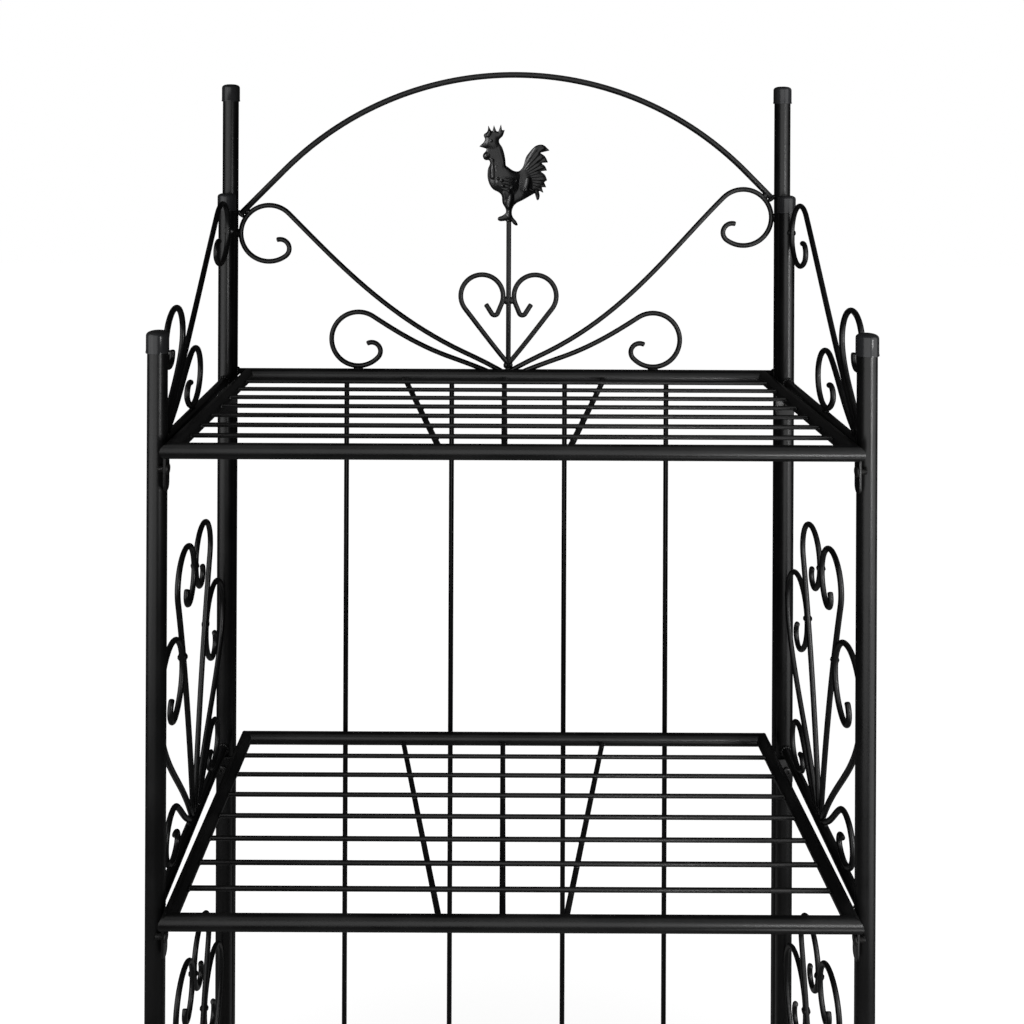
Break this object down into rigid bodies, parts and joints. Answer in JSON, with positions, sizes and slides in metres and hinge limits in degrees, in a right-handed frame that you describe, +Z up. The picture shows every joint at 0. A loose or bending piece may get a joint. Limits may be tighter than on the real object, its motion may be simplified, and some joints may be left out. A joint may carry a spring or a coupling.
{
  "type": "plant stand",
  "caption": "Free-standing metal plant stand: wire shelves bolted between scrollwork side panels, and a taller arched back panel with scrolls, a heart and a rooster.",
  "frame": {"origin": "on the floor under the middle of the stand's width and depth", "axes": "+Z up, -Y out of the front where the shelves are loaded, +X to the right seen from the front"},
  "size_m": [0.579, 0.295, 1.157],
  "materials": {
    "black_powder_coat": "satin powder coat",
    "black_plastic": "satin moulded",
    "blackened_bolt": "blackened, satin"
  },
  "bodies": {
    "root": {"back_arch": "black_powder_coat", "back_bar_bottom": "black_powder_coat", "back_bar_top": "black_powder_coat", "back_cap_left": "black_plastic", "back_cap_right": "black_plastic", "back_post_left": "black_powder_coat", "back_post_right": "black_powder_coat", "back_rod_1": "black_powder_coat", "back_rod_2": "black_powder_coat", "back_rod_3": "black_powder_coat", "back_rod_4": "black_powder_coat", "front_bolt_1_left": "blackened_bolt", "front_bolt_1_right": "blackened_bolt", "front_bolt_2_left": "blackened_bolt", "front_bolt_2_right": "blackened_bolt", "front_bolt_3_left": "blackened_bolt", "front_bolt_3_right": "blackened_bolt", "front_cap_left": "black_plastic", "front_cap_right": "black_plastic", "front_foot_left": "black_plastic", "front_foot_right": "black_plastic", "front_post_left": "black_powder_coat", "front_post_right": "black_powder_coat", "heart_stem": "black_powder_coat", "lower_scroll_left": "black_powder_coat", "lower_scroll_right": "black_powder_coat", "rear_bolt_1_left": "blackened_bolt", "rear_bolt_1_right": "blackened_bolt", "rear_bolt_2_left": "blackened_bolt", "rear_bolt_2_right": "blackened_bolt", "rear_bolt_3_left": "blackened_bolt", "rear_bolt_3_right": "blackened_bolt", "rear_cap_left": "black_plastic", "rear_cap_right": "black_plastic", "rear_foot_left": "black_plastic", "rear_foot_right": "black_plastic", "rear_post_left": "black_powder_coat", "rear_post_right": "black_powder_coat", "rooster": "black_powder_coat", "shelf_frame_1": "black_powder_coat", "shelf_frame_2": "black_powder_coat", "shelf_frame_3": "black_powder_coat", "shelf_grid_1": "black_powder_coat", "shelf_grid_2": "black_powder_coat", "shelf_grid_3": "black_powder_coat", "side_bar_1_left": "black_powder_coat", "side_bar_1_right": "black_powder_coat", "side_bar_2_left": "black_powder_coat", "side_bar_2_right": "black_powder_coat", "side_bar_3_left": "black_powder_coat", "side_bar_3_right": "black_powder_coat", "side_fan_1_left": "black_powder_coat", "side_fan_1_right": "black_powder_coat", "side_fan_2_left": "black_powder_coat", "side_fan_2_right": "black_powder_coat", "side_spray_left": "black_powder_coat", "side_spray_right": "black_powder_coat", "upper_scroll_left": "black_powder_coat", "upper_scroll_right": "black_powder_coat"}
  },
  "joints": []
}
